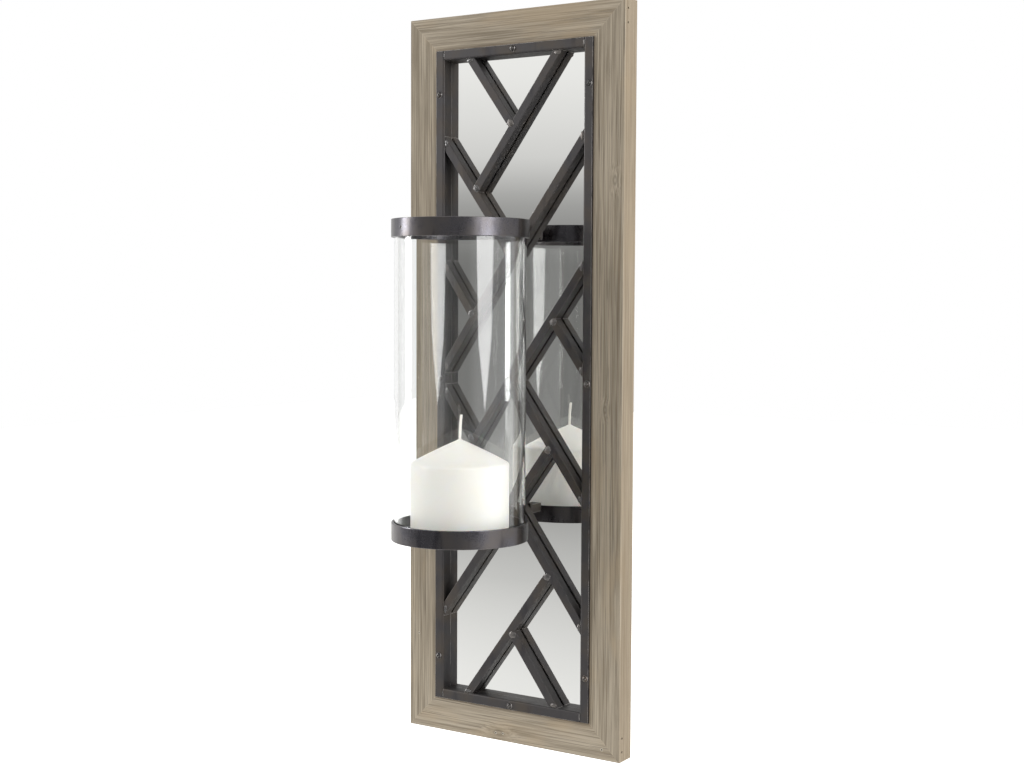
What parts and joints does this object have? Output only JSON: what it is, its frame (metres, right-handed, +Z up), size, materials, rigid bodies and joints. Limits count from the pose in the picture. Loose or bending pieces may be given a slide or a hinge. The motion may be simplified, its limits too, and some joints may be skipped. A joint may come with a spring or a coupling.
{
  "type": "wall sconce candle holder",
  "caption": "Tall wood-framed wall sconce: iron fretwork over a mirror carries a ring and dish that hold a clear glass cylinder with a pillar candle inside.",
  "frame": {"origin": "middle of the back of the wood frame, on the wall plane, where the back panel lies flush", "axes": "+Z up, +Y into the wall (the room is at -Y), +X to the right as seen from the room"},
  "size_m": [0.262, 0.185, 0.762],
  "materials": {
    "weathered_wood": "grey weathered softwood, straight grain, matt",
    "dark_iron": "dark gunmetal, waxed, satin with burnished edges",
    "weld_iron": "dark weld beads, glossier than the bars",
    "ring_iron": "blackened flat bar, semi-gloss",
    "black_screws": "black oxide, satin",
    "brad_steel": "dull, dark",
    "zinc_steel": "zinc plated",
    "mirror": "clear silvered glass",
    "hardboard": "smooth brown hardboard",
    "clear_glass": "clear polished",
    "white_wax": "smooth white wax, soft sheen",
    "cotton_wick": "braided cotton"
  },
  "bodies": {
    "sconce": {"frame_stile_left": "weathered_wood", "frame_stile_right": "weathered_wood", "frame_rail_top": "weathered_wood", "frame_rail_bottom": "weathered_wood", "corner_brads": "brad_steel", "mirror": "mirror", "back_panel": "hardboard", "panel_screws": "zinc_steel", "iron_stile_left": "dark_iron", "iron_stile_right": "dark_iron", "iron_rail_top": "dark_iron", "iron_rail_bottom": "dark_iron", "lattice_bar_1": "dark_iron", "lattice_bar_2": "dark_iron", "lattice_bar_3": "dark_iron", "lattice_bar_4": "dark_iron", "lattice_bar_5": "dark_iron", "lattice_bar_6": "dark_iron", "lattice_bar_7": "dark_iron", "lattice_bar_8": "dark_iron", "lattice_bar_9": "dark_iron", "lattice_bar_10": "dark_iron", "lattice_bar_11": "dark_iron", "lattice_bar_12": "dark_iron", "lattice_bar_13": "dark_iron", "weld_beads": "weld_iron", "iron_screws": "black_screws", "upper_pad": "dark_iron", "upper_arm": "dark_iron", "upper_ring": "ring_iron", "ring_grub_screws": "black_screws", "lower_pad": "dark_iron", "lower_arm": "dark_iron", "dish_band": "ring_iron", "dish_plate": "ring_iron", "keyhole_plate_left": "zinc_steel", "keyhole_plate_right": "zinc_steel", "keyhole_screws": "zinc_steel"},
    "glass": {"glass_cylinder": "clear_glass"},
    "candle": {"candle": "white_wax", "wick": "cotton_wick"}
  },
  "joints": [
    {"name": "glass_lift", "type": "slide", "parent": "sconce", "child": "glass", "axis": [0, 0, 1], "range_m": [0, 0.33]},
    {"name": "candle_lift", "type": "slide", "parent": "sconce", "child": "candle", "axis": [0, 0, 1], "range_m": [0, 0.33]}
  ]
}
